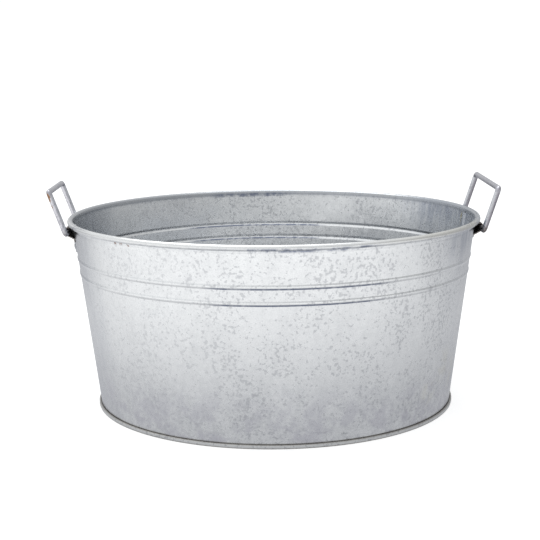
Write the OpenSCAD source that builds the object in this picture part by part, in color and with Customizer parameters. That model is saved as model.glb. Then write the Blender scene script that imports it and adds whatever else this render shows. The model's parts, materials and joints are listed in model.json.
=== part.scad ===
// Round galvanised party tub: two sheet wall panels joined by lock seams, a bottom pan
// hemmed on, a rim rolled over a wire, and two wire handles that swing in riveted ears.
// The origin is on the floor at the tub's axis. +X points to the right handle, -Y to the
// front, +Z up. The right ear is built once and turned half round for the left one.

/* [Tub] */
// Outside diameter over the rolled rim
rim_d = 457; // [380:1:520]
// Height from the floor to the top of the rim
tub_h = 210; // [190:1:260]
// Outside diameter of the hem round the bottom
base_d = 400; // [330:1:450]
// Thickness of the galvanised sheet
sheet_t = 0.8; // [0.6:0.1:1]

/* [Rim] */
// Diameter of the wire that the rim is rolled over
wire_d = 4.4; // [3.6:0.2:5]
// Distance from the top of the rim down to the swage line
swage_drop = 9.5; // [9:0.5:10]
// How far the wall steps out at the swage line
swage_step = 0.9; // [0.4:0.1:1]

/* [Ribs] */
// Distance from the top of the rim down to the upper rib
upper_rib_drop = 42.5; // [41:0.5:50]
// Distance from the upper rib down to the lower rib
rib_pitch = 17; // [12:1:30]
// Radius of a rib's rounded crest
rib_r = 3.6; // [3.4:0.1:4]
// How far a rib stands out of the wall
rib_proud = 1; // [0.8:0.1:1.2]

/* [Seams] */
// Angle from the ears round to the lock seams
seam_angle = 7; // [6.8:0.1:8]
// Width of a lock seam
seam_w = 8; // [7:0.5:9]
// Height of the hem that joins the wall to the bottom
hem_h = 5.2; // [5:0.1:6]
// How high the middle of the bottom is raised off the floor
base_rise = 3.5; // [2:0.5:6]

/* [Handles] */
// Diameter of the handle wire
bar_d = 6; // [5:0.2:6.4]
// Handle width between the middles of its two legs
handle_w = 118; // [114:1:130]
// Handle height from the hinge axis to the middle of the grip
handle_h = 48; // [44:1:56]
// Bend radius of the handle's corners, at the middle of the wire
bend_r = 4; // [4:0.5:6]
// Distance from the top of the rim down to the hinge axis
hinge_drop = 13; // [13:0.1:14]
// Outward lean of the right handle from upright
right_lean = 18; // [10:1:30]
// Outward lean of the left handle from upright
left_lean = 20; // [10:1:30]
// Gap between the two ends of the handle wire, inside the ear
wire_end_gap = 2; // [1:0.5:4]

/* [Ears] */
// Width of an ear
ear_w = 80; // [80:1:102]
// Thickness of an ear's sheet
ear_t = 1.2; // [1:0.1:1.4]
// How far an ear is riveted out of level
ear_tilt = 1.5; // [0:0.1:1.5]
// Distance from the hinge axis down to the row of rivets
rivet_drop = 18.5; // [18:0.5:19]
// Distance between neighbouring rivets
rivet_pitch = 16; // [12:0.5:16]
// Diameter of a rivet's shank
rivet_d = 4; // [3:0.2:4.6]

/* [Hidden] */
$fn = 96;

zinc = [0.74, 0.76, 0.78];
zinc_dark = [0.62, 0.64, 0.67];
zinc_bright = [0.8, 0.81, 0.83];

// Gap between sheets that lie on each other, and running gap of the handle in its ear.
lap_gap = 0.05;
running_gap = 0.06;
pitch = sheet_t + lap_gap;

// Rolled rim: a sheet tube round the wire, standing outside the wall.
wire_r = wire_d / 2;
roll_in = wire_r + lap_gap;
roll_out = roll_in + sheet_t;
roll_x = rim_d / 2 - roll_out;
roll_z = tub_h - roll_out;

// Outer line of the wall: upright hem, cone, swage step and upright neck.
neck_r = roll_x - roll_in;
swage_z = tub_h - swage_drop;
swage_h = 1;
cone_top_r = neck_r - swage_step;
hem_r = base_d / 2 - 3 * pitch;
wall_z = pitch;
cone_z = hem_h + 0.4;
cone_slope = (cone_top_r - hem_r) / (swage_z - cone_z);
cone_lean = atan(cone_slope);
function wall_r(z) = z < cone_z ? hem_r : hem_r + (z - cone_z) * cone_slope;
rib_zs = [tub_h - upper_rib_drop, tub_h - upper_rib_drop - rib_pitch];

// Lock seams, as angles round the tub's axis: half a seam, a fold's thickness and a gap.
seam_half = asin(seam_w / 2 / wall_r(tub_h / 2));
fold = 0.25;
seam_gap = 0.12;
seam_z = 2;
ear_angle = 180 - seam_angle;

// Hinge axis, just clear of the wall.
bar_r = bar_d / 2;
hinge_z = tub_h - hinge_drop;
hinge_x = wall_r(hinge_z) + bar_r + 0.25;

// Ear: a strap bent round the bar, with one limb up to the rim and one down to the wall.
strap_in = bar_r + running_gap;
strap_out = strap_in + ear_t;
upper_limb = 35;
lower_limb = -62;
strap_top = 5.4;
reach = 14;
skirt_drop = 11.5;
tab_w = 50;
tab_drop = 25;
tab_r = 6;

// Rivets: a domed head outside the ear and an upset tail inside the tub.
rivet_r = rivet_d / 2;
head_r = rivet_r + 1.9;
head_h = 1.1;
tail_r = rivet_r + 1.4;
tail_h = 1.3;

// Region inside the wall's outer line, drawn shift further in. With cut it becomes the
// region inside the same sheet's inner line, run past both ends to cut cleanly.
module wall_body(shift, cut) {
  in = shift + (cut ? sheet_t : 0);
  over = cut ? 1 : 0;
  polygon([[hem_r - 60, wall_z - over], [hem_r - in, wall_z - over], [hem_r - in, cone_z],
    [cone_top_r - in, swage_z], [neck_r - in, swage_z + swage_h],
    [neck_r - in, roll_z + over], [hem_r - 60, roll_z + over]]);
  for (z = rib_zs)
    translate([wall_r(z) - (rib_r - rib_proud), z]) circle(r = rib_r - in);
}

// Section of the sheet layers first to last, counted inwards from the skin.
module layers(first, last) {
  difference() {
    wall_body(first * pitch, false);
    wall_body(last * pitch, true);
  }
}

// Section of the rolled rim round its wire.
module roll() {
  translate([roll_x, roll_z]) difference() {
    circle(r = roll_out);
    circle(r = roll_in);
  }
}

// Section of the wall's own half of the hem: a foot and an upturned edge.
module wall_hem() {
  translate([hem_r - sheet_t, wall_z]) square([sheet_t + 2 * pitch, sheet_t]);
  translate([hem_r + 2 * pitch - sheet_t, wall_z])
    square([sheet_t, hem_h - sheet_t - wall_z - lap_gap]);
}

// Sweeps a section round the axis from one angle to another.
module sweep(from, to) {
  rotate([0, 0, from]) rotate_extrude(angle = to - from) children();
}

// Seam layers swept between two angles, from just above the bottom to below the swage.
module seam_layers(from, to, first, last, inset = 0) {
  sweep(from, to) intersection() {
    layers(first, last);
    translate([0, seam_z + inset]) square([rim_d, swage_z - 1 - seam_z - 2 * inset]);
  }
}

// Fold that joins layers first and last near their edges at an angle, half way into each.
module seam_fold(from, first, last) {
  seam_layers(from + fold / 6, from + fold * 5 / 6, first + 0.5, last - 0.5, sheet_t / 2);
}

// Height and turn round the axis of rivet i, counted from -1 to 1 along the ear.
function rivet_z(i) = hinge_z + i * rivet_pitch * sin(ear_tilt) - rivet_drop * cos(ear_tilt);
function rivet_y(i) = i * rivet_pitch * cos(ear_tilt) + rivet_drop * sin(ear_tilt);
function rivet_turn(i) = asin(rivet_y(i) / wall_r(rivet_z(i)));

// Places its children at a rivet, with +Z square out of the wall.
module at_rivet(i) {
  rotate([0, 0, rivet_turn(i)]) translate([wall_r(rivet_z(i)), 0, rivet_z(i)])
    rotate([0, 90 + cone_lean, 0]) children();
}

module rivet_holes() {
  for (i = [-1 : 1])
    at_rivet(i) translate([0, 0, -5]) cylinder(h = 10, r = rivet_r + lap_gap, $fn = 48);
}

// One half of the wall. It starts at the seam at angle 0 with its outer skin folded back,
// and ends at angle 180 behind the next half's skin, joggled inwards and folded back.
module wall_panel() {
  skin_end = 180 - seam_half - seam_gap;
  color(zinc) difference() {
    union() {
      sweep(-seam_half, skin_end) union() {
        layers(0, 0);
        roll();
        wall_hem();
      }
      seam_fold(-seam_half, 0, 2);
      seam_layers(-seam_half, seam_half - fold - seam_gap, 2, 2);
      seam_fold(skin_end - fold, 0, 3);
      seam_layers(skin_end - fold, 180 + seam_half, 3, 3);
      seam_fold(180 + seam_half - fold, 1, 3);
      seam_layers(180 - seam_half + fold + seam_gap, 180 + seam_half, 1, 1);
    }
    rotate([0, 0, ear_angle]) rivet_holes();
  }
}

module front_wall() {
  rotate([0, 0, 180 + seam_angle]) wall_panel();
}

module rear_wall() {
  rotate([0, 0, seam_angle]) wall_panel();
}

// Bottom: a raised disc, a flat foot ring and a rim folded up and over the wall's hem.
module bottom_pan() {
  rise_r = hem_r - 11;
  foot_r = hem_r - 7;
  edge = base_d / 2;
  soft = 0.5;
  color(zinc_dark) rotate_extrude() union() {
    polygon([[0, base_rise], [rise_r, base_rise], [foot_r, 0], [edge - soft, 0],
      [edge, soft], [edge, sheet_t], [foot_r + 0.3, sheet_t],
      [rise_r + 0.3, base_rise + sheet_t], [0, base_rise + sheet_t]]);
    polygon([[edge - sheet_t, sheet_t / 2], [edge, soft], [edge, hem_h - soft],
      [edge - soft, hem_h], [hem_r + lap_gap + soft, hem_h], [hem_r + lap_gap, hem_h - soft],
      [hem_r + lap_gap, wall_z + pitch], [hem_r + pitch, wall_z + pitch],
      [hem_r + pitch, hem_h - sheet_t], [edge - sheet_t, hem_h - sheet_t]]);
  }
}

// Steel wire inside the rolled rim, with its ends butted at the rear wall's seam.
module rim_wire() {
  color(zinc_bright) sweep(seam_angle, seam_angle + 359.6)
    translate([roll_x, roll_z]) circle(r = wire_r);
}

// Moves its children from the hinge frame to the right ear's place on the tub.
module at_hinge() {
  translate([hinge_x, 0, hinge_z]) rotate([ear_tilt, 0, 0]) children();
}

// Extrudes a section, drawn with x outwards and y up, along the hinge axis.
module along_hinge(w) {
  translate([0, w / 2, 0]) rotate([90, 0, 0]) linear_extrude(height = w) children();
}

// Section of the strap's outline at radius r, or of its hollow, up to height top.
module strap_section(r, top) {
  up = [cos(upper_limb), sin(upper_limb)];
  down = [cos(lower_limb), sin(lower_limb)];
  run = (reach + r * down[0]) / tan(-lower_limb);
  circle(r = r);
  polygon([[-reach, top], [(r - top * up[1]) / up[0], top], r * up, [0, 0], r * down,
    [-reach, r * down[1] - run]]);
}

// Outline of the plate below the strap, seen square to the wall.
module plate_outline() {
  tab_h = tab_drop - tab_r;
  polygon([[-ear_w / 2, 2], [ear_w / 2, 2], [ear_w / 2, 2 - skirt_drop],
    [ear_w / 2 - 2, -skirt_drop], [tab_w / 2 + 2, -skirt_drop],
    [tab_w / 2, -skirt_drop - 2], [tab_w / 2, -tab_h], [-tab_w / 2, -tab_h],
    [-tab_w / 2, -skirt_drop - 2], [-tab_w / 2 - 2, -skirt_drop],
    [2 - ear_w / 2, -skirt_drop], [-ear_w / 2, 2 - skirt_drop]]);
  translate([tab_r - tab_w / 2, -tab_drop]) square([tab_w - 2 * tab_r, tab_drop]);
  for (side = [-1, 1])
    translate([side * (tab_w / 2 - tab_r), -tab_h]) circle(r = tab_r);
}

// Ear at the right side. The strap is straight and the plate follows the wall.
module ear() {
  plate_lo = hinge_z - 40;
  color(zinc_bright) difference() {
    union() {
      at_hinge() along_hinge(ear_w) strap_section(strap_out, strap_top);
      intersection() {
        sweep(-20, 20) polygon([
          [wall_r(plate_lo) - 2, plate_lo], [wall_r(plate_lo) + ear_t, plate_lo],
          [cone_top_r + ear_t, swage_z], [cone_top_r - 2, swage_z]]);
        at_hinge() translate([reach, 0, 0]) rotate([90, 0, -90])
          linear_extrude(height = 2 * reach) mirror([1, 0]) plate_outline();
      }
    }
    at_hinge() along_hinge(ear_w + 10) strap_section(strap_in, strap_top - ear_t);
    sweep(-25, 25) wall_body(-lap_gap, false);
    rivet_holes();
  }
}

module right_ear() {
  ear();
}

module left_ear() {
  rotate([0, 0, 180]) ear();
}

// Rivet with its shank through the ear and the wall.
module rivet() {
  out = ear_t + 2 * lap_gap;
  in = -sheet_t - lap_gap;
  dome_r = (head_r * head_r + head_h * head_h) / (2 * head_h);
  color(zinc_bright) rotate_extrude($fn = 48) union() {
    translate([0, in - tail_h / 2]) square([rivet_r, out - in + tail_h]);
    intersection() {
      translate([0, out + head_h - dome_r]) circle(r = dome_r);
      translate([0, out]) square([head_r, head_h]);
    }
    polygon([[0, in - tail_h], [tail_r - 0.7, in - tail_h], [tail_r, in - tail_h / 2],
      [tail_r, in], [0, in]]);
  }
}

module right_rivet_front() {
  at_rivet(-1) rivet();
}

module right_rivet_middle() {
  at_rivet(0) rivet();
}

module right_rivet_rear() {
  at_rivet(1) rivet();
}

module left_rivet_front() {
  rotate([0, 0, 180]) at_rivet(1) rivet();
}

module left_rivet_middle() {
  rotate([0, 0, 180]) at_rivet(0) rivet();
}

module left_rivet_rear() {
  rotate([0, 0, 180]) at_rivet(-1) rivet();
}

// Straight stretch of wire from the origin along +Z.
module wire(length) {
  cylinder(h = length, r = bar_r, $fn = 48);
}

// Rectangular wire loop standing on the hinge axis, its ends meeting inside the ear.
module handle_loop() {
  half = handle_w / 2;
  straight = half - bend_r;
  bar = straight - wire_end_gap / 2;
  color(zinc_bright) union() {
    translate([0, -straight, handle_h]) rotate([-90, 0, 0]) wire(2 * straight);
    for (side = [-1, 1]) {
      translate([0, side * half, bend_r]) wire(handle_h - 2 * bend_r);
      translate([0, side * wire_end_gap / 2, 0]) rotate([-90 * side, 0, 0]) wire(bar);
      for (end = [0, 1])
        translate([0, side * straight, end ? handle_h - bend_r : bend_r])
          rotate([0, 90, 0]) rotate([0, 0, side > 0 ? 90 * end : 270 - 90 * end])
            rotate_extrude(angle = 90, $fn = 48) translate([bend_r, 0]) circle(r = bar_r);
    }
  }
}

module right_handle() {
  at_hinge() rotate([0, right_lean, 0]) handle_loop();
}

module left_handle() {
  rotate([0, 0, 180]) at_hinge() rotate([0, left_lean, 0]) handle_loop();
}

front_wall();
rear_wall();
bottom_pan();
rim_wire();
right_ear();
right_rivet_front();
right_rivet_middle();
right_rivet_rear();
left_ear();
left_rivet_front();
left_rivet_middle();
left_rivet_rear();
right_handle();
left_handle();
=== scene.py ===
import json
import math

import bmesh
import bpy
import numpy as np
from mathutils import Matrix, Vector


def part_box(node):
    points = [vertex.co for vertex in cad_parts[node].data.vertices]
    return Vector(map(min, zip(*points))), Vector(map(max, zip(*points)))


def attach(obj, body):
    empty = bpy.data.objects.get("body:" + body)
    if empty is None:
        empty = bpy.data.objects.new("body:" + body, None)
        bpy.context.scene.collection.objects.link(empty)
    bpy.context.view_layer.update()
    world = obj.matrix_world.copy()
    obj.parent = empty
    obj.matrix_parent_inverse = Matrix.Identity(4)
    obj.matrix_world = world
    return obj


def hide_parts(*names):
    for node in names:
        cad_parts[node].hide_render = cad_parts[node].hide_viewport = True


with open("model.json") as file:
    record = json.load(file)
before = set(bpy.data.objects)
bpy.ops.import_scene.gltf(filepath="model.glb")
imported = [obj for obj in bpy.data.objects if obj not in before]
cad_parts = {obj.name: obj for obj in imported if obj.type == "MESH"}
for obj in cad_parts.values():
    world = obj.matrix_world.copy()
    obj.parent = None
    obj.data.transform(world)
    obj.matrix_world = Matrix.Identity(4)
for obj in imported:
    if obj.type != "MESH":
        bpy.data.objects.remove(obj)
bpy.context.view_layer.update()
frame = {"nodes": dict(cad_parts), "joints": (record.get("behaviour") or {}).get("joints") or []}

MM = 0.001

# Sizes of the tub, in millimetres, as its parts are designed. The lower rib's place, the ribs'
# relief and the hem's height are a little nearer to the photograph than the CAD's, and the
# swage is drawn as a shallow groove.
TUB_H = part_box("rear_wall")[1].z / MM
RIM_R = 228.5
BASE_R = 200
MEAN_R = 210
SHEET = 0.8
LAP = 0.05
PITCH = SHEET + LAP
WIRE_R = 2.2
ROLL_END = -137
SWAGE_Z = TUB_H - 9.5
SWAGE_STEP = 0.9
SWAGE_DIP = 0.13
SWAGE_HALF = 1.1
RIB_Z = (TUB_H - 42.5, TUB_H - 59)
RIB_R = 3.6
RIB_PROUD = 0.75
RIB_FILLET = 2.2
RIB_SQUEEZE = 0.12
HEM_H = 4.4
CONE_Z = HEM_H + 0.4
BASE_RISE = 3.5

# The lock seams, each folded inside the wall.
SEAM_ANGLE = math.radians(7)
SEAM_W = 8
SEAM_GAP = 0.35
SEAM_LO = 2
SEAM_HI = TUB_H - 6
SEAM_FADE = 0.4
FOLD_IN = 1.25
SKIN_SHORT = 1.8

# The handles and the ears that hold them.
BAR_R = 3
HANDLE_W = 118
HANDLE_H = 48
BEND_R = 4
WIRE_END = 1.0
CORNER_POWER = 3.4
LEAN = {"right": 18, "left": 20}
EAR_W = 80
EAR_T = 1.2
EAR_TAB = 25
EAR_SKIRT = -11.5
EAR_LOW = -25
EAR_FLANGE = 4.8
EAR_PLAY = 0.06
EDGE = 0.25
RIVET_DROP = 18.5
RIVET_PITCH = 16
HINGE_X = Vector(frame["joints"][0]["pos_m"]).x / MM
HINGE_Z = Vector(frame["joints"][0]["pos_m"]).z / MM

# Radii and heights that follow from those.
ROLL_R = WIRE_R + LAP + SHEET / 2
ROLL_X = RIM_R - ROLL_R - SHEET / 2
ROLL_Z = TUB_H - ROLL_R - SHEET / 2
NECK_R = ROLL_X - WIRE_R - LAP
HEM_R = BASE_R - 3 * PITCH
CONE_TOP_R = NECK_R - SWAGE_STEP
CONE_SLOPE = (CONE_TOP_R - HEM_R) / (SWAGE_Z - CONE_Z)
SEAM_TURN = SEAM_W / 2 / MEAN_R

# How finely the meshes are divided.
PANEL_COLUMNS = 361
PAN_COLUMNS = 720
BAR_COLUMNS = 40
RIVET_COLUMNS = 48
SHARP_EDGE = math.radians(35)
JOIN_M = 1e-7


# ---------------------------------------------------------------- lines and sections

def arc(cx, cz, radius, start, end, steps):
    """Points (x, z) along an arc, angles in degrees."""
    turn = np.radians(np.linspace(start, end, steps + 1))
    return np.stack([cx + radius * np.cos(turn), cz + radius * np.sin(turn)], 1)


def rounded(corners, radii, steps):
    """A path through corner points, each inner corner rounded to its radius."""
    corners = [np.asarray(c, float) for c in corners]
    path = [corners[0]]
    for i, radius in enumerate(radii, 1):
        back = corners[i - 1] - corners[i]
        ahead = corners[i + 1] - corners[i]
        back, ahead = back / np.linalg.norm(back), ahead / np.linalg.norm(ahead)
        half = math.acos(np.clip(back @ ahead, -1, 1)) / 2
        inwards = (back + ahead) / np.linalg.norm(back + ahead)
        middle = corners[i] + inwards * radius / math.sin(half)
        spoke = corners[i] + back * radius / math.tan(half) - middle
        side = 1 if back[0] * ahead[1] - back[1] * ahead[0] < 0 else -1
        for t in np.linspace(0, side * (math.pi - 2 * half), steps + 1):
            c, n = math.cos(t), math.sin(t)
            path.append(middle + [c * spoke[0] - n * spoke[1], n * spoke[0] + c * spoke[1]])
    return path + [corners[-1]]


def normals_of(line):
    """Unit normals of a line, to the right of its direction."""
    run = np.gradient(line, axis=0)
    run /= np.linalg.norm(run, axis=1)[:, None]
    return np.stack([run[:, 1], -run[:, 0]], 1)


def smooth(t):
    """Goes from 0 to 1 as t does, with level ends."""
    t = np.clip(t, 0, 1)
    return t * t * (3 - 2 * t)


def rib_height(away):
    """How far a rib stands out at a distance up or down from its middle, fillets included."""
    away = np.abs(away)
    foot = math.sqrt((RIB_R + RIB_FILLET) ** 2 - (RIB_R - RIB_PROUD + RIB_FILLET) ** 2)
    change = foot * RIB_R / (RIB_R + RIB_FILLET)
    crest = np.sqrt(np.maximum(RIB_R ** 2 - away ** 2, 0)) - (RIB_R - RIB_PROUD)
    fillet = RIB_FILLET - np.sqrt(np.maximum(RIB_FILLET ** 2 - (foot - away) ** 2, 0))
    return np.where(away < change, crest, np.where(away < foot, fillet, 0))


def wall_radius(z, depth=0):
    """Outer radius of the wall at height z, or of a layer folded depth further in, where the
    ribs are narrower."""
    z = np.asarray(z, float)
    radius = HEM_R + np.maximum(z - CONE_Z, 0) * CONE_SLOPE
    radius = np.minimum(radius, NECK_R)
    for rib_z in RIB_Z:
        radius = radius + rib_height((z - rib_z) * (1 + RIB_SQUEEZE * depth))
    return radius - depth


def heights(low, high):
    """Heights along the wall, close together where it is curved."""
    step, rib_reach, swage_reach, end_gap = 6, 4.5, 2.6, 0.3
    marks = [np.arange(low, high, step)]
    for rib_z in RIB_Z:
        marks.append(np.linspace(rib_z - rib_reach, rib_z + rib_reach, 31))
    marks.append(np.linspace(SWAGE_Z - swage_reach, SWAGE_Z + swage_reach, 17))
    z = np.unique(np.round(np.concatenate(marks), 3))
    z = z[(z > low + end_gap) & (z < high - end_gap)]
    return np.concatenate([[low], z, [high]])


def foot_line():
    """Middle line of the wall's folded foot, from its lip inwards and up, and where it ends."""
    bend, steps = 0.45, 6
    foot_z = PITCH + SHEET / 2
    lip_x = HEM_R + 2 * PITCH - SHEET / 2
    wall_x = HEM_R - SHEET / 2
    lip = [[lip_x, HEM_H - 1.1], [lip_x, foot_z + bend + 1]]
    outer_bend = arc(lip_x - bend, foot_z + bend, bend, 0, -90, steps)
    inner_bend = arc(wall_x + bend, foot_z + bend, bend, 270, 180, steps)
    return [lip, outer_bend, inner_bend], foot_z + bend


def wall_section():
    """Middle line of the wall's sheet: folded foot, wall, and the roll over the wire."""
    foot, foot_top = foot_line()
    z = heights(foot_top + 0.3, ROLL_Z - 0.3)
    wall = np.stack([wall_radius(z) - SHEET / 2, z], 1)
    roll = arc(ROLL_X, ROLL_Z, ROLL_R, 180, ROLL_END, 48)
    return np.concatenate([*foot, wall, roll])


# ---------------------------------------------------------------- meshes

def make_piece(name, points, faces):
    """A closed piece from points in millimetres. Points that fall together are joined, as at
    a pole, and every face is turned outwards."""
    mesh = bpy.data.meshes.new(name)
    mesh.from_pydata(points.reshape(-1, 3) * MM, [], faces)
    work = bmesh.new()
    work.from_mesh(mesh)
    bmesh.ops.remove_doubles(work, verts=work.verts, dist=JOIN_M)
    bmesh.ops.recalc_face_normals(work, faces=work.faces)
    work.to_mesh(mesh)
    work.free()
    mesh.shade_smooth()
    mesh.set_sharp_from_angle(angle=SHARP_EDGE)
    piece = bpy.data.objects.new(name, mesh)
    bpy.context.scene.collection.objects.link(piece)
    return piece


def grid_quads(index):
    return np.stack([index[:-1, :-1], index[1:, :-1], index[1:, 1:], index[:-1, 1:]],
                    -1).reshape(-1, 4)


def edge_quads(one, other):
    return np.stack([one[:-1], one[1:], other[1:], other[:-1]], -1)


def sheet_mesh(name, shells):
    """Closed sheet-metal shells, each given by the same grid of points on its two faces.
    A shell is (face, back, round), where round joins its last column to its first."""
    points, quads, base = [], [], 0
    for face, back, is_round in shells:
        cols, rows = face.shape[:2]
        points += [face.reshape(-1, 3), back.reshape(-1, 3)]
        index = np.arange(2 * cols * rows).reshape(2, cols, rows) + base
        base += 2 * cols * rows
        if is_round:
            index = np.concatenate([index, index[:, :1]], 1)
        top, under = index
        quads += [grid_quads(top), grid_quads(under[::-1])]
        quads += [edge_quads(under[:, 0], top[:, 0]), edge_quads(top[:, -1], under[:, -1])]
        if not is_round:
            quads += [edge_quads(top[0], under[0]), edge_quads(under[-1], top[-1])]
    return make_piece(name, np.concatenate(points), np.concatenate(quads).tolist())


def tube_mesh(name, rings):
    """Closed tube through rings of points, with flat ends."""
    count, columns = rings.shape[:2]
    index = np.arange(count * columns).reshape(count, columns)
    index = np.concatenate([index, index[:, :1]], 1)
    ends = [index[0, :-1].tolist(), index[-1, :-1].tolist()]
    return make_piece(name, rings, grid_quads(index).tolist() + ends)


def turned_mesh(name, rings):
    """Solid of revolution: columns of points round an axis, closed at both poles."""
    cols, rows = rings.shape[:2]
    index = np.arange(cols * rows).reshape(cols, rows)
    index = np.concatenate([index, index[:1]], 0)
    return make_piece(name, rings, grid_quads(index).tolist())


def around(radius, turn, z):
    """Points at a radius, an angle and a height, as one array."""
    radius, turn, z = np.broadcast_arrays(radius, turn, z)
    return np.stack([radius * np.cos(turn), radius * np.sin(turn), z], -1)


def placed(matrix, points):
    """Points moved by a 4 by 4 matrix."""
    m = np.array(matrix)
    return points @ m[:3, :3].T + m[:3, 3]


# ---------------------------------------------------------------- walls and bottom

def dents(turn, z):
    """Slow waves in the sheet, fading out at the ears, the hem and the rim."""
    fade_height = 30
    side = np.minimum(1, np.abs(np.sin(turn)) * 2.6) ** 2
    fade = side * smooth((z - 8) / fade_height) * smooth((TUB_H - 5 - z) / fade_height)
    waves = (0.22 * np.sin(3 * turn + 0.6 + z * 0.011)
             + 0.15 * np.sin(7 * turn - 1.1 - z * 0.02)
             + 0.1 * np.sin(13 * turn + 2.2 + z * 0.034)
             + 0.06 * np.sin(23 * turn + z * 0.05))
    return fade * waves


def wall_panel(name, start):
    """Half of the wall: its skin, from the seam at angle start round to the other seam, and
    the folds of its two ends."""
    line = wall_section()
    offset = normals_of(line) * SHEET / 2
    z = line[:, 1]
    seam_part = smooth((z - SEAM_LO) / SEAM_FADE) * smooth((SEAM_HI - z) / SEAM_FADE)
    foot_points = 12
    seam_part[:foot_points] = 0
    from_turn = start - SEAM_TURN + seam_part * FOLD_IN / MEAN_R
    to_turn = start + math.pi - SEAM_TURN - (SEAM_GAP + seam_part * SKIN_SHORT) / MEAN_R
    columns = np.linspace(0, 1, PANEL_COLUMNS)[:, None]
    turn = from_turn + (to_turn - from_turn) * columns
    dent = dents(turn, z)
    groove = SWAGE_DIP * np.exp(-((z - SWAGE_Z) / SWAGE_HALF) ** 2)
    faces = [around(line[:, 0] + s * offset[:, 0] + dent - cut, turn, z + s * offset[:, 1])
             for s, cut in ((1, groove), (-1, 0))]
    return sheet_mesh(name, [(*faces, False), seam_shell(start, start_fold()),
                             seam_shell(start + math.pi, end_fold())])


def start_fold():
    """Plan of the fold at the panel's start: out of the skin, round and back as layer 2.
    Points are (distance along the seam's width, depth of the sheet's middle)."""
    half, mid = SEAM_W / 2, SHEET / 2
    skin = [[-half + 2.4, mid], [-half + SKIN_SHORT, mid]]
    turn = arc(-half + FOLD_IN, mid + PITCH, PITCH, -90, -270, 16)
    layer = [[x, mid + 2 * PITCH] for x in np.linspace(-half + SKIN_SHORT, half - 1.5, 12)]
    return np.concatenate([skin, turn, layer])


def end_fold():
    """Plan of the fold at the panel's end: joggled behind the next skin and folded back."""
    half, mid, joggle_w = SEAM_W / 2, SHEET / 2, 2.6
    x = np.linspace(-half - 3, -half + 0.2, 16)
    joggle = np.stack([x, mid + 3 * PITCH * smooth((x + half + joggle_w) / joggle_w)], 1)
    layer = [[x, mid + 3 * PITCH] for x in np.linspace(-half + 0.6, half - 1.6, 12)]
    turn = arc(half - FOLD_IN, mid + 2 * PITCH, PITCH, 90, -90, 16)
    back = [[x, mid + PITCH] for x in np.linspace(half - SKIN_SHORT, -half + 2.6, 10)]
    return np.concatenate([joggle, layer, turn, back])


def seam_shell(centre, plan):
    """A folded strip of sheet that follows the wall up a seam."""
    z = np.clip(heights(SEAM_LO, SEAM_HI), None, SEAM_HI)
    side = normals_of(plan) * SHEET / 2
    faces = []
    for s in (1, -1):
        across = (plan[:, 0] + s * side[:, 0])[:, None]
        depth = (plan[:, 1] + s * side[:, 1])[:, None]
        faces.append(around(wall_radius(z[None], depth), centre + across / MEAN_R, z[None]))
    return (*faces, False)


def bottom_pan():
    """Raised bottom with a flat foot ring, folded up and over the wall's foot."""
    mid, rise_bend, corner_bend, top_bend = SHEET / 2, 2, 0.8, 0.85
    rise_r, foot_r, edge = HEM_R - 11, HEM_R - 7, BASE_R - mid
    disc = [[r, BASE_RISE + mid] for r in np.linspace(0, rise_r - 2, 24)]
    into = arc(rise_r - 1.9, BASE_RISE + mid - rise_bend, rise_bend, 90, 41, 6)
    out_of = arc(foot_r + 1.9, mid + rise_bend, rise_bend, 221, 270, 6)
    corner = arc(edge - corner_bend, mid + corner_bend, corner_bend, -90, 0, 6)
    top = arc(edge - top_bend, HEM_H - mid - top_bend, top_bend, 0, 180, 14)
    inside = [[edge - 2 * top_bend, z] for z in np.linspace(HEM_H - 1.6, PITCH * 2 + 0.2, 4)]
    line = np.concatenate([disc, into, out_of, [[foot_r + 4, mid]], corner, top, inside])
    offset = normals_of(line) * mid
    offset[0, 0] = 0
    turn = np.linspace(0, 2 * math.pi, PAN_COLUMNS, endpoint=False)[:, None]
    faces = [around(line[:, 0] + s * offset[:, 0], turn, line[:, 1] + s * offset[:, 1])
             for s in (1, -1)]
    return sheet_mesh("bottom_pan_skin", [(*faces, True)])


# ---------------------------------------------------------------- handles, ears and rivets

def hinge_frame(name):
    """Matrix of a hinge in millimetres: x outwards, y along the axis, z up."""
    joint = next(j for j in frame["joints"] if j["name"] == name)
    at = Vector(joint["pos_m"]) / MM
    y = Vector(joint["axis"]).normalized()
    x = Vector((math.copysign(1, at.x), 0, 0))
    z = x.cross(y)
    turn = Matrix((x, y, z)).transposed()
    return Matrix.Translation(at) @ turn.to_4x4()


def handle_frame(side):
    """Matrix of a handle in millimetres: its hinge's frame, leaning as the handle does."""
    lean = Matrix.Rotation(math.radians(LEAN[side]), 4, "Y")
    return hinge_frame(f"{side}_handle_hinge") @ lean


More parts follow.
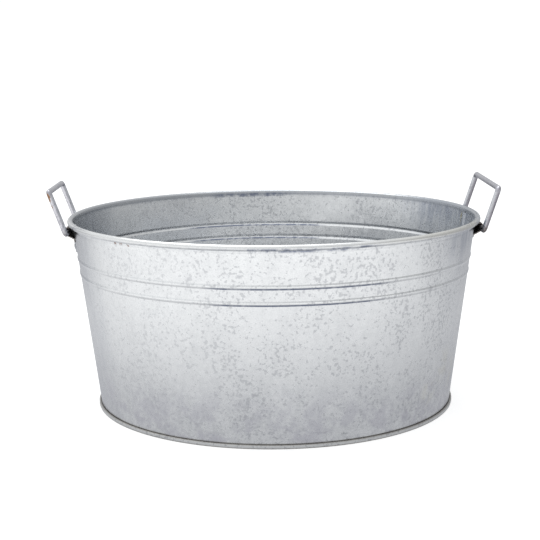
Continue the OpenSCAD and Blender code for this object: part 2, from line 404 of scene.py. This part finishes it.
def handle_line():
    """Middle line of a handle's wire as (y, z), and for each point how far its outer side is
    drawn out into a squarer corner, and the direction of that side."""
    half, run_points, bend_points = HANDLE_W / 2, 14, 15
    path, extra, sideways = [[WIRE_END, 0]], [0], [[0, -1]]
    for k, (y, z) in enumerate([(half, 0), (half, HANDLE_H), (-half, HANDLE_H), (-half, 0)]):
        cy, cz = y - math.copysign(BEND_R, y), z - (BEND_R if z > 0 else -BEND_R)
        first = math.radians(-90 + 90 * k)
        previous = path[-1]
        entry = [cy + BEND_R * math.cos(first), cz + BEND_R * math.sin(first)]
        for t in np.linspace(0, 1, run_points)[1:-1]:
            path.append([previous[i] + (entry[i] - previous[i]) * t for i in (0, 1)])
            extra.append(0)
            sideways.append([math.cos(first), math.sin(first)])
        for t in np.radians(np.linspace(0, 90, bend_points)):
            turn = first + t
            powers = abs(math.cos(t)) ** CORNER_POWER + abs(math.sin(t)) ** CORNER_POWER
            square = 1 / powers ** (1 / CORNER_POWER)
            path.append([cy + BEND_R * math.cos(turn), cz + BEND_R * math.sin(turn)])
            extra.append((BEND_R + BAR_R) * (square - 1))
            sideways.append([math.cos(turn), math.sin(turn)])
    for t in np.linspace(0, 1, run_points)[1:]:
        path.append([path[-1][0] * (1 - t) - WIRE_END * t, 0])
        extra.append(0)
        sideways.append([0, -1])
    return np.array(path), np.array(extra), np.array(sideways)


def handle(side):
    """Wire loop with tight, slightly squared corners."""
    path, extra, sideways = handle_line()
    turn = np.linspace(0, 2 * math.pi, BAR_COLUMNS, endpoint=False)
    reach = BAR_R + extra[:, None] * np.maximum(np.cos(turn), 0) ** 1.5
    y = path[:, :1] + sideways[:, :1] * reach * np.cos(turn)
    z = path[:, 1:] + sideways[:, 1:] * reach * np.cos(turn)
    x = np.broadcast_to(BAR_R * np.sin(turn), y.shape)
    rings = placed(handle_frame(side), np.stack([x, y, z], -1))
    return tube_mesh(f"{side}_handle_wire", rings)


def wall_in_hinge(y, z, tilt):
    """How far out the wall's face is, in a hinge's own frame, at a place along and up."""
    real_y = y * math.cos(tilt) - z * math.sin(tilt)
    real_z = HINGE_Z + y * math.sin(tilt) + z * math.cos(tilt)
    return math.sqrt(float(wall_radius(real_z)) ** 2 - real_y ** 2) - HINGE_X


def ear_edge():
    """The ear's lower edge as (distance along it, height): skirt, tab and skirt."""
    wide = EAR_W / 2
    corners = [(0, EAR_LOW), (EAR_TAB, EAR_LOW), (EAR_TAB + 0.6, EAR_SKIRT),
               (wide, EAR_SKIRT), (wide + 0.01, 0)]
    edge = rounded(corners, (6, 2, 2), 8)[:-1] + [np.array([wide, EAR_SKIRT + 2.2])]
    edge = np.array(edge)
    straight = [(y, EAR_LOW) for y in np.linspace(0, edge[1][0], 8)[:-1]]
    edge = np.array(straight + edge[1:].tolist())
    edge = edge[np.concatenate([[True], np.diff(edge[:, 0]) > 0.02])]
    y = np.unique(np.append(edge[:, 0], edge[-1][0] - EDGE))
    edge = np.stack([y, np.interp(y, *edge.T)], 1)
    return np.concatenate([edge[::-1] * [-1, 1], edge[1:]])


def ear_column(y, low, tilt):
    """Section of the ear at a distance along it: flange, strap round the bar, plate."""
    upper, lower, mid = math.radians(35), math.radians(-62), BAR_R + EAR_PLAY + EAR_T / 2
    knee = ((mid - EAR_FLANGE * math.sin(upper)) / math.cos(upper), EAR_FLANGE)
    bisector, spread = (upper + lower) / 2, (upper - lower) / 2
    nose_r = mid / math.cos(spread)
    nose = (nose_r * math.cos(bisector), nose_r * math.sin(bisector))
    stand_off = LAP + EAR_T / 2
    foot = nose
    for _ in range(30):
        x = wall_in_hinge(y, foot[1], tilt) + stand_off
        foot = (x, nose[1] - (nose[0] - x) * math.tan(lower + math.pi / 2))
    start = (wall_in_hinge(y, EAR_FLANGE, tilt) + 0.2, EAR_FLANGE)
    end = (wall_in_hinge(y, low, tilt) + stand_off, low)
    strap = rounded([start, knee, nose, foot, end], (1.6, mid, 1.8), 9)
    top = strap[-2][1]
    plate = []
    for t in np.linspace(0, 1, 12)[1:]:
        z = top + (low - top) * t
        plate.append([wall_in_hinge(y, z, tilt) + stand_off, z])
    near_start = strap[0] + np.array([EDGE, 0])
    near_end = [plate[-1][0], plate[-1][1] + EDGE]
    return np.array([strap[0], near_start] + strap[1:-1] + plate[:-1] + [near_end, plate[-1]])


def ear(name, joint):
    """Strap bent round the handle's bar, with its plate lying on the wall."""
    place = hinge_frame(joint)
    tilt = math.asin(place[2][1])
    grid = np.array([[(x, y, z) for x, z in ear_column(y, low, tilt)] for y, low in ear_edge()])
    along, down = np.gradient(grid, axis=0), np.gradient(grid, axis=1)
    normal = np.cross(down, along)
    normal /= np.linalg.norm(normal, axis=2)[:, :, None]
    half, thin_edge = np.full(grid.shape[:2], EAR_T / 2), EAR_T / 2 * 0.6
    half[0] = half[-1] = half[:, 0] = half[:, -1] = thin_edge
    faces = [placed(place, grid + s * normal * half[:, :, None]) for s in (-1, 1)]
    return sheet_mesh(name, [(*faces, False)])


def rivet(name, turn, z):
    """Rivet with a domed head outside and an upset tail inside."""
    shank, head_r, head_h, tail_r, tail_h = 2, 3.9, 1.1, 3.4, 1.3
    outer, inner = EAR_T + 2 * LAP, -SHEET - LAP
    dome = (head_r ** 2 + head_h ** 2) / (2 * head_h)
    reach = math.degrees(math.asin(head_r / dome))
    head = arc(0, outer + head_h - dome, dome, 90 - reach, 90, 12)
    tail = rounded([(0, inner - tail_h), (tail_r, inner - tail_h), (tail_r, inner)], (0.9,), 5)
    line = np.concatenate([tail, [[shank, inner], [shank, outer]], head])
    matrix = (Matrix.Rotation(turn, 4, "Z")
              @ Matrix.Translation((float(wall_radius(z)), 0, z))
              @ Matrix.Rotation(math.pi / 2 + math.atan(CONE_SLOPE), 4, "Y"))
    around_axis = np.linspace(0, 2 * math.pi, RIVET_COLUMNS, endpoint=False)[:, None]
    return turned_mesh(name, placed(matrix, around(line[:, 0], around_axis, line[:, 1])))


# ---------------------------------------------------------------- shader nodes

class Shader:
    """A material's node tree, with short calls that add and link its nodes."""

    def __init__(self, name):
        self.material = bpy.data.materials.new(name)
        self.material.use_nodes = True
        self.tree = self.material.node_tree
        self.surface = self.tree.nodes["Principled BSDF"]
        self.place = self.add("ShaderNodeTexCoord").outputs["Object"]
        self.x, self.y, self.z = self.add("ShaderNodeSeparateXYZ", {0: self.place}).outputs

    def add(self, kind, inputs=(), **settings):
        node = self.tree.nodes.new(kind)
        for key, value in settings.items():
            setattr(node, key, value)
        for key, value in dict(inputs).items():
            self.feed(node.inputs[key], value)
        return node

    def feed(self, socket, value):
        if isinstance(value, bpy.types.NodeSocket):
            self.tree.links.new(value, socket)
        else:
            socket.default_value = value

    def set(self, **inputs):
        """Links or sets inputs of the surface, named with _ for a space."""
        for name, value in inputs.items():
            self.feed(self.surface.inputs[name.replace("_", " ")], value)

    def math(self, operation, *values):
        return self.add("ShaderNodeMath", enumerate(values), operation=operation).outputs[0]

    def vector(self, operation, *values):
        """A vector operation that gives a vector."""
        node = self.add("ShaderNodeVectorMath", enumerate(values), operation=operation)
        return node.outputs["Vector"]

    def measure(self, operation, *values):
        """A vector operation that gives a number."""
        node = self.add("ShaderNodeVectorMath", enumerate(values), operation=operation)
        return node.outputs["Value"]

    def stretched(self, scale):
        return self.vector("MULTIPLY", self.place, scale)

    def from_axis(self):
        """Distance from the tub's axis."""
        return self.measure("LENGTH", self.stretched((1, 1, 0)))

    def noise(self, size, place=None, detail=3, rough=0.5):
        """Noise with features of about a size in millimetres."""
        inputs = {"Vector": place or self.place, "Scale": 1 / (size * MM), "Detail": detail,
                  "Roughness": rough}
        return self.add("ShaderNodeTexNoise", inputs).outputs[0]

    def cells(self, size):
        """A random colour for each cell of about a size in millimetres."""
        inputs = {"Vector": self.place, "Scale": 1 / (size * MM)}
        return self.add("ShaderNodeTexVoronoi", inputs).outputs["Color"]

    def ramp(self, value, low, high, to_low=0.0, to_high=1.0):
        """A smooth change of a value between two of its levels."""
        inputs = {"Value": value, "From Min": low, "From Max": high,
                  "To Min": to_low, "To Max": to_high}
        return self.add("ShaderNodeMapRange", inputs, interpolation_type="SMOOTHSTEP").outputs[0]

    def span(self, length, low, high, to_low=0.0, to_high=1.0):
        """A smooth change of a value over a length between two places in millimetres."""
        return self.ramp(length, low * MM, high * MM, to_low, to_high)

    def mix(self, share, one, other, blend="MIX"):
        node = self.add("ShaderNodeMix", data_type="RGBA", blend_type=blend)
        self.feed(node.inputs[0], share)
        self.feed(node.inputs[6], (*one, 1) if isinstance(one, tuple) else one)
        self.feed(node.inputs[7], (*other, 1) if isinstance(other, tuple) else other)
        return node.outputs[2]

    def spot(self, x, y, z, radius):
        """1 at a place in millimetres, falling to 0 at a radius."""
        away = self.measure("DISTANCE", self.place, (x * MM, y * MM, z * MM))
        return self.span(away, 0, radius, 1.0, 0.0)

    def both(self, *shares):
        """Shares multiplied together."""
        total = shares[0]
        for share in shares[1:]:
            total = self.math("MULTIPLY", total, share)
        return total

    def off(self, height, target):
        """How far a height is from a target in millimetres."""
        return self.math("ABSOLUTE", self.math("SUBTRACT", height, target * MM))


# ---------------------------------------------------------------- zinc

# Colours, as linear red, green and blue.
SKIN_LIGHT, SKIN_DARK = (0.765, 0.78, 0.79), (0.42, 0.433, 0.455)
# Painted shade at the wall's left end.
LEFT_END_SHADE = (0.51, 0.53, 0.565)
# Painted shade high at the wall's right end.
RIGHT_END_SHADE = (0.36, 0.39, 0.45)
LOW_PATCH = (0.54, 0.54, 0.59)
# Line above the hem: partly brown, partly painted shade.
HEM_SHADE_AND_BROWN = (0.17, 0.15, 0.12)
RIM_WORN, RIM_BEIGE = (0.7, 0.71, 0.71), (0.66, 0.65, 0.6)
# Painted shade round the rim's right end and on its inner side.
RIM_RIGHT_END_SHADE, RIM_INNER_SHADE = (0.39, 0.43, 0.49), (0.34, 0.36, 0.39)
# Painted shade under the ribs and under the rim.
RIB_RIM_SHADE = (0.13, 0.155, 0.23)
RIM_RUST, HANDLE_RUST = (0.22, 0.13, 0.1), (0.26, 0.15, 0.09)
SEAM_STAIN, LOW_STAIN = (0.4, 0.34, 0.14), (0.72, 0.69, 0.56)
# Painted shade on a handle's grip and painted shadow at its foot.
GRIP_SHADE, HANDLE_FOOT_SHADE = (0.4, 0.4, 0.44), (0.17, 0.15, 0.14)
# The ear's strap: near black, partly oxide and partly painted shade.
EAR_LIGHT, EAR_DARK, EAR_PLATE = (0.3, 0.28, 0.27), (0.1, 0.08, 0.07), (0.66, 0.67, 0.69)
BASE_LIGHT, BASE_DARK = (0.66, 0.67, 0.67), (0.4, 0.41, 0.43)
# Painted shade inside the base; its edge lines are partly brown, partly painted shade.
BASE_INSIDE_SHADE, BASE_EDGE_SHADE_AND_BROWN = (0.33, 0.34, 0.36), (0.2, 0.185, 0.165)

FLAKE = 3
CRYSTAL_TILT = 0.02


def even(s):
    """The same share of flecks and clouds everywhere."""
    return 0.6


def zinc(name, light, dark, rough, flake=FLAKE, flecks=even, clouds=even):
    """Galvanised sheet: small ragged dark crystals in loose clusters, over a cloudy mottle."""
    s = Shader(name)
    cluster = s.ramp(s.noise(46, detail=4, rough=0.62), 0.36, 0.64)
    ragged = s.noise(flake, detail=2.5, rough=0.6)
    spots = s.ramp(s.math("MULTIPLY_ADD", cluster, 0.1, ragged), 0.61, 0.68)
    cloudy = s.math("MULTIPLY", s.ramp(s.noise(1.5, detail=2, rough=0.6), 0.3, 0.75), 0.3)
    patches = s.ramp(s.noise(6.5, rough=0.6), 0.38, 0.72)
    cloudy = s.math("MULTIPLY_ADD", patches, 0.22, cloudy)
    haze = s.ramp(s.noise(24, rough=0.55), 0.35, 0.7)
    cloudy = s.math("MULTIPLY_ADD", haze, 0.12, cloudy)
    streaks = s.ramp(s.noise(16, s.stretched((1, 1, 0.07)), detail=4, rough=0.6), 0.45, 0.8)
    cloudy = s.math("MULTIPLY_ADD", streaks, 0.16, cloudy)
    tone = s.both(spots, 0.9, flecks(s))
    tone = s.math("MULTIPLY_ADD", cloudy, clouds(s), tone)
    tilt = s.vector("SCALE", s.vector("SUBTRACT", s.cells(flake * 1.6), (0.5, 0.5, 0.5)))
    s.feed(tilt.node.inputs["Scale"], CRYSTAL_TILT)
    grain = s.noise(0.7, detail=2)
    bump = s.add("ShaderNodeBump", {"Strength": 0.1, "Distance": 0.0002, "Height": grain})
    s.set(Normal=s.vector("NORMALIZE", s.vector("ADD", bump.outputs[0], tilt)),
          Roughness=s.ramp(tone, 0, 0.6, rough, rough + 0.1), Metallic=1)
    return s, s.mix(tone, light, dark)


def rib_and_rim_shade(s):
    """Painted blue-grey shade on the long sides: a broken line under each rib, which stands in
    for a dark reflection, and blotchy painted shade under the rim.
    """
    middle = s.math("ABSOLUTE", s.math("MULTIPLY_ADD", s.x, -0.07, s.y))
    lines = 0.0
    for rib_z in RIB_Z:
        lines = s.math("MAXIMUM", s.span(s.off(s.z, rib_z - 2), 0.35, 1.25, 1.0, 0.0), lines)
    broken = s.ramp(s.noise(7, detail=2), 0.3, 0.55, 0.5, 1.0)
    lines = s.both(lines, broken, s.span(middle, 196, 206))
    blotches = s.ramp(s.noise(12, detail=4, rough=0.65), 0.38, 0.6, 0.15, 1.0)
    under_rim = s.both(s.span(s.off(s.z, ROLL_Z - 2.6), 1.4, 3.2, 0.9, 0.0), blotches,
                       s.span(middle, 214, 221, 0.15, 1.0))
    return s.math("MAXIMUM", lines, under_rim)


def wall_flecks(s):
    """Few flecks towards the left and low down."""
    return s.both(s.span(s.x, -130, -20, 0.34, 0.54), s.span(s.z, 20, 90, 0.85, 1.0))


def wall_clouds(s):
    """The mottle is stronger low down."""
    return s.span(s.z, 20, 90, 1.15, 0.5)


def end_shade(s, colour):
    """Painted shade at the left end, painted shade broken by streaks high at the right end,
    patches low down, and a line above the hem that is partly brown, partly painted shade."""
    left = s.span(s.math("MULTIPLY_ADD", s.z, 0.12, s.x), -194, -158, 1.0, 0.0)
    cloudy = s.noise(20, s.stretched((1, 1, 0.3)), detail=4, rough=0.6)
    # Painted shade at the left end.
    colour = s.mix(s.both(left, s.ramp(cloudy, 0.35, 0.65, 0.6, 1.1)), colour, LEFT_END_SHADE)
    streaks = s.ramp(s.noise(7, s.stretched((1, 1, 0.15))), 0.35, 0.65, 0.45, 1.0)
    right = s.both(s.span(s.x, 150, 200), s.span(s.z, 160, 200, 0.25, 0.9), streaks)
    # Painted shade high at the right end, broken by streaks.
    colour = s.mix(right, colour, RIGHT_END_SHADE)
    patches = s.ramp(s.noise(26, detail=5, rough=0.66), 0.42, 0.6)
    colour = s.mix(s.both(s.span(s.z, 15, 75, 0.6, 0.0), patches), colour, LOW_PATCH)
    # A line just above the hem, partly brown and partly painted shade in the gap where the wall
    # meets the hem.
    return s.mix(s.span(s.z, HEM_H + 0.2, HEM_H + 1.3, 0.6, 0.0), colour, HEM_SHADE_AND_BROWN)


def rim_shade(s, colour):
    """The rim's roll: worn bright, beige towards the right, with painted blue-grey shade round
    its right end and painted shade on its inner side."""
    worn = s.mix(s.span(s.x, 60, 200), RIM_WORN, RIM_BEIGE)
    # Painted shade round the rim's right end.
    rim_end_shade = s.both(s.span(s.x, 150, 200), s.span(s.y, -100, -55, 0, 0.9))
    worn = s.mix(rim_end_shade, worn, RIM_RIGHT_END_SHADE)
    colour = s.mix(s.span(s.z, ROLL_Z - 2.5, ROLL_Z + 0.5, 0, 0.75), colour, worn)
    # Painted shade on the roll's inner side.
    inner = s.both(s.span(s.from_axis(), ROLL_X - 1.2, ROLL_X + 0.7, 1, 0),
                   s.span(s.z, ROLL_Z - 4, ROLL_Z - 2, 0, 0.75))
    return s.mix(inner, colour, RIM_INNER_SHADE)


def stains(s, places, size):
    """Broken stains round places, each (angle, radius, height, reach) in degrees and mm."""
    share = 0.0
    for turn, radius, z, reach in places:
        turn = math.radians(turn)
        spot = s.spot(radius * math.cos(turn), radius * math.sin(turn), z, reach)
        share = s.math("MAXIMUM", spot, share)
    return s.both(share, s.ramp(s.noise(size, rough=0.6), 0.42, 0.58))


def wall_zinc():
    """Zinc with painted shade under the ribs and under the rim, rust under the rim, and yellow
    stains on a seam and low at the right.
    """
    s, colour = zinc("wall_zinc", SKIN_LIGHT, SKIN_DARK, 0.22, 3.4, wall_flecks, wall_clouds)
    colour = rim_shade(s, end_shade(s, colour))
    # Painted shade under the ribs and under the rim, on the long sides.
    colour = s.mix(s.both(rib_and_rim_shade(s), 0.92), colour, RIB_RIM_SHADE)
    rust = stains(s, [(turn, NECK_R, ROLL_Z - 4, 4.2) for turn in (-138, -136, -133)], 2.4)
    colour = s.mix(s.ramp(rust, 0.2, 0.6, 0, 0.9), colour, RIM_RUST)
    seam = [(7.6 + k * 0.25, CONE_TOP_R - 4 - k, TUB_H - 10 - 7 * k, 6.5) for k in range(6)]
    low = [(-32, 204, 60, 26), (-24, 203, 45, 24), (-40, 202, 36, 20)]
    colour = s.mix(s.both(stains(s, seam, 30), 0.9), colour, SEAM_STAIN)
    colour = s.mix(s.both(stains(s, low, 14), 0.3), colour, LOW_STAIN)
    s.set(Base_Color=colour)
    return s.material


def handle_zinc(side, inner, outer, foot, rust):
    """Dull wire with painted shade on its grip, on its outer side and at its foot, and rust on
    the outside of a leg at places given as (distance along the hinge, height, reach) in mm."""
    s, colour = zinc(f"{side}_handle_zinc", (1, 1, 1), (0.6, 0.6, 0.62), 0.26)
    at = handle_frame(side)
    outwards, up = at.to_3x3().col[0], at.to_3x3().col[2]
    from_hinge = s.vector("SUBTRACT", s.place, at.translation * MM)
    rise = s.measure("DOT_PRODUCT", from_hinge, up)
    # Painted shade on the handle's outer side.
    outer_side_shade = s.span(s.measure("DOT_PRODUCT", from_hinge, outwards), -1.7, 0.6)
    grip = s.span(rise, HANDLE_H - 6, HANDLE_H - 2)
    tint = s.mix(outer_side_shade, inner, outer)
    # Painted shade on the grip.
    tint = s.mix(s.both(grip, 0.75), tint, GRIP_SHADE)
    # Painted shadow at the handle's foot.
    tint = s.mix(s.span(rise, 1, 8, foot, 0), tint, HANDLE_FOOT_SHADE)
    colour = s.mix(1.0, tint, colour, "MULTIPLY")
    share = 0.0
    for across, height, reach in rust:
        outside = at @ Vector((BAR_R + 4, across, height))
        share = s.math("MAXIMUM", s.spot(*outside, reach), share)
    share = s.both(share, s.ramp(s.noise(2.5, rough=0.6), 0.25, 0.5, 0.3, 1.6))
    s.set(Base_Color=s.mix(s.ramp(share, 0.2, 0.5), colour, HANDLE_RUST))
    return s.material


def ear_zinc():
    """Strap near black where the handle turns in it, partly oxide and partly painted shade, and
    plain zinc lower on its plate.
    """
    # The strap's dark colour is partly oxide and partly painted shade.
    s, colour = zinc("ear_zinc", EAR_LIGHT, EAR_DARK, 0.5)
    ragged = s.math("MULTIPLY_ADD", s.noise(6), 4 * MM, s.z)
    low = s.span(ragged, HINGE_Z - 10, HINGE_Z - 6, 1, 0)
    s.set(Base_Color=s.mix(low, colour, EAR_PLATE))
    return s.material


def base_zinc():
    """Dull zinc with painted shade inside, and a line at the hem's top and along its lowest edge
    that is partly brown and partly painted shade.
    """
    s, colour = zinc("base_zinc", BASE_LIGHT, BASE_DARK, 0.4)
    radius = s.from_axis()
    # Lines at the hem's top and its lowest edge: partly brown, partly painted shade.
    edge = s.math("MAXIMUM", s.span(s.z, 0.6, 1.7, 1, 0), s.span(s.z, HEM_H - 1.2, HEM_H - 0.3))
    edge = s.both(edge, s.span(radius, BASE_R - 6, BASE_R - 3, 0, 0.7))
    # Painted shade inside the base.
    colour = s.mix(s.span(radius, HEM_R - 8, HEM_R - 3, 0.6, 0), colour, BASE_INSIDE_SHADE)
    s.set(Base_Color=s.mix(edge, colour, BASE_EDGE_SHADE_AND_BROWN))
    return s.material


def plain_zinc(name, light, dark, rough):
    s, colour = zinc(name, light, dark, rough)
    s.set(Base_Color=colour)
    return s.material


# ---------------------------------------------------------------- studio

BLACK, WHITE = (0, 0, 0, 1), (1, 1, 1, 1)
STAGE_SIZE = 60
BACKDROP_R = 29
FLOOR_GLOW = 0.66
FLOOR_GREY = (0.5, 0.5, 0.5, 1)
TABLE_Z = -0.0005
TABLE_LIGHT = 1.24
TABLE_TINT = (0.0, 0.006, 0.035)
TABLE_WAY = (0.35, 1.0, 0)
FOOT_SHADE = (0.025, -0.03, 0)
WORLD_WAY = (-0.4, -0.05, 0.9)
WORLD_FROM, WORLD_TO = -0.3, 0.9
WORLD_LOW, WORLD_HIGH = 0.58, 1.12
WORLD_COLOUR = (0.985, 0.993, 1, 1)
LENS_MM, SENSOR_MM = 84.5, 36
CAMERA_AT = (-4.73, -1407.1, 400.6)
CAMERA_YAW = math.radians(2.45)
CAMERA_PITCH = math.radians(10.287)
CAMERA_ROLL = math.radians(-0.57)


def linked(name, data):
    """An object with that data, in the scene."""
    made = bpy.data.objects.new(name, data)
    bpy.context.scene.collection.objects.link(made)
    return made


def add_camera():
    """Camera at the height, distance and tilt that the tub is seen from, in millimetres."""
    data = bpy.data.cameras.new("camera")
    camera = linked("camera", data)
    bpy.context.scene.camera = camera
    data.sensor_width = SENSOR_MM
    data.lens = LENS_MM
    yaw = Matrix.Rotation(-CAMERA_YAW, 3, "Z")
    stand = yaw @ Vector(CAMERA_AT) * MM
    turn = (yaw @ Matrix.Rotation(math.pi / 2 - CAMERA_PITCH, 3, "X")
            @ Matrix.Rotation(CAMERA_ROLL, 3, "Z"))
    camera.matrix_world = Matrix.Translation(stand) @ turn.to_4x4()


def stage_plane(name, z):
    """A wide level plane that isn't part of the tub."""
    bpy.ops.mesh.primitive_plane_add(size=STAGE_SIZE, location=(0, 0, z))
    plane = bpy.context.object
    plane.name = name
    return plane


def seen_by(piece, camera, light):
    """Sets whether the camera sees a stage piece, and whether reflections and bounces do."""
    piece.visible_camera = camera
    piece.visible_glossy = piece.visible_diffuse = light
    piece.visible_transmission = piece.visible_volume_scatter = light
    piece.visible_shadow = False


def add_floor():
    """White floor and backdrop, which only the camera sees."""
    floor = stage_plane("floor", 0)
    s = Shader("floor")
    s.set(Base_Color=FLOOR_GREY, Emission_Color=WHITE, Emission_Strength=FLOOR_GLOW,
          Roughness=1, Specular_IOR_Level=0)
    floor.data.materials.append(s.material)
    seen_by(floor, True, False)

    bpy.ops.mesh.primitive_uv_sphere_add(radius=BACKDROP_R, segments=64, ring_count=32)
    backdrop = bpy.context.object
    backdrop.name = "backdrop"
    s = Shader("backdrop")
    s.set(Base_Color=BLACK, Emission_Color=WHITE, Emission_Strength=1)
    backdrop.data.materials.append(s.material)
    seen_by(backdrop, True, False)


def add_table():
    """Glowing table top that only the tub mirrors: its glow is painted bright in front and dim
    behind, with a painted shadow near the tub's foot.
    """
    table = stage_plane("glowing_table_top", TABLE_Z)
    s = Shader("glowing_table_top")
    back = s.measure("DOT_PRODUCT", s.place, TABLE_WAY)
    far = s.measure("DISTANCE", s.place, FOOT_SHADE)
    # The glow is painted dimmer behind and near the tub's foot, where it stands in for the tub's
    # shadow.
    tone = s.both(s.ramp(back, -0.75, 0.9, 1.0, 0.42), s.ramp(far, 0.12, 0.62, 0.58, 1.0))
    s.set(Base_Color=BLACK, Emission_Color=s.mix(tone, TABLE_TINT, (1.0, 1.0, 1.0)),
          Emission_Strength=TABLE_LIGHT, Roughness=1, Specular_IOR_Level=0)
    table.data.materials.append(s.material)
    seen_by(table, False, True)


def add_softbox(name, at, look_at, width, height, power):
    data = bpy.data.lights.new(name, "AREA")
    data.shape = "RECTANGLE"
    data.size, data.size_y = width, height
    data.energy = power
    light = linked(name, data)
    light.location = at
    light.rotation_mode = "QUATERNION"
    light.rotation_quaternion = (Vector(look_at) - Vector(at)).to_track_quat("-Z", "Y")


def add_world():
    """Soft light from all round: most from above, then from the left, least from the right."""
    world = bpy.data.worlds.new("world")
    bpy.context.scene.world = world
    world.use_nodes = True
    tree = world.node_tree
    sky = tree.nodes["Background"]
    way = tree.nodes.new("ShaderNodeTexCoord").outputs["Generated"]
    lean = tree.nodes.new("ShaderNodeVectorMath")
    lean.operation = "DOT_PRODUCT"
    tree.links.new(way, lean.inputs[0])
    lean.inputs[1].default_value = Vector(WORLD_WAY).normalized()
    tone = tree.nodes.new("ShaderNodeMapRange")
    tone.interpolation_type = "SMOOTHSTEP"
    tree.links.new(lean.outputs["Value"], tone.inputs["Value"])
    levels = {"From Min": WORLD_FROM, "From Max": WORLD_TO,
              "To Min": WORLD_LOW, "To Max": WORLD_HIGH}
    for key, value in levels.items():
        tone.inputs[key].default_value = value
    tree.links.new(tone.outputs[0], sky.inputs["Strength"])
    sky.inputs["Color"].default_value = WORLD_COLOUR


# ---------------------------------------------------------------- the tub

def show(piece, material, body, node):
    """Puts a finished piece in the place of a CAD node."""
    piece.data.materials.append(material)
    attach(piece, body)
    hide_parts(node)


add_camera()
add_floor()
add_table()
add_world()
add_softbox("overhead", at=(-0.4, 0.5, 2.0), look_at=(0, 0, 0), width=1.8, height=1.6, power=18)
bpy.context.scene.view_settings.view_transform = "Standard"

wall = wall_zinc()
base = base_zinc()
wire = plain_zinc("wire_zinc", (0.56, 0.56, 0.6), (0.33, 0.33, 0.37), 0.3)
strap = ear_zinc()
head = plain_zinc("rivet_zinc", (0.56, 0.57, 0.58), (0.42, 0.43, 0.44), 0.45)
# Each handle's outer colour is painted shade on its outer side, and foot is how much painted
# shadow darkens its foot.
grips = {
    "right": handle_zinc("right", inner=(0.62, 0.63, 0.66), outer=(0.27, 0.26, 0.29),
                         foot=0.85, rust=[]),
    "left": handle_zinc("left", inner=(0.6, 0.61, 0.65), outer=(0.62, 0.62, 0.66),
                        foot=0.4, rust=[(59, 43, 11), (59, 32.5, 8.5)]),
}

show(wall_panel("front_wall_skin", math.pi + SEAM_ANGLE), wall, "tub", "front_wall")
show(wall_panel("rear_wall_skin", SEAM_ANGLE), wall, "tub", "rear_wall")
show(bottom_pan(), base, "tub", "bottom_pan")
rim = frame["nodes"]["rim_wire"]
rim.data.materials.clear()
rim.data.materials.append(wire)

for side, half_turn in (("right", 0), ("left", math.pi)):
    joint = f"{side}_handle_hinge"
    show(handle(side), grips[side], f"{side}_handle", f"{side}_handle")
    show(ear(f"{side}_ear_strap", joint), strap, "tub", f"{side}_ear")
    tilt = math.asin(hinge_frame(joint)[2][1])
    for where, i in (("front", -1), ("middle", 0), ("rear", 1)):
        along = (i if side == "right" else -i) * RIVET_PITCH
        z = HINGE_Z + along * math.sin(tilt) - RIVET_DROP * math.cos(tilt)
        y = along * math.cos(tilt) + RIVET_DROP * math.sin(tilt)
        turn = math.asin(y / float(wall_radius(z))) + half_turn
        node = f"{side}_rivet_{where}"
        show(rivet(f"{node}_head", turn, z), head, "tub", node)
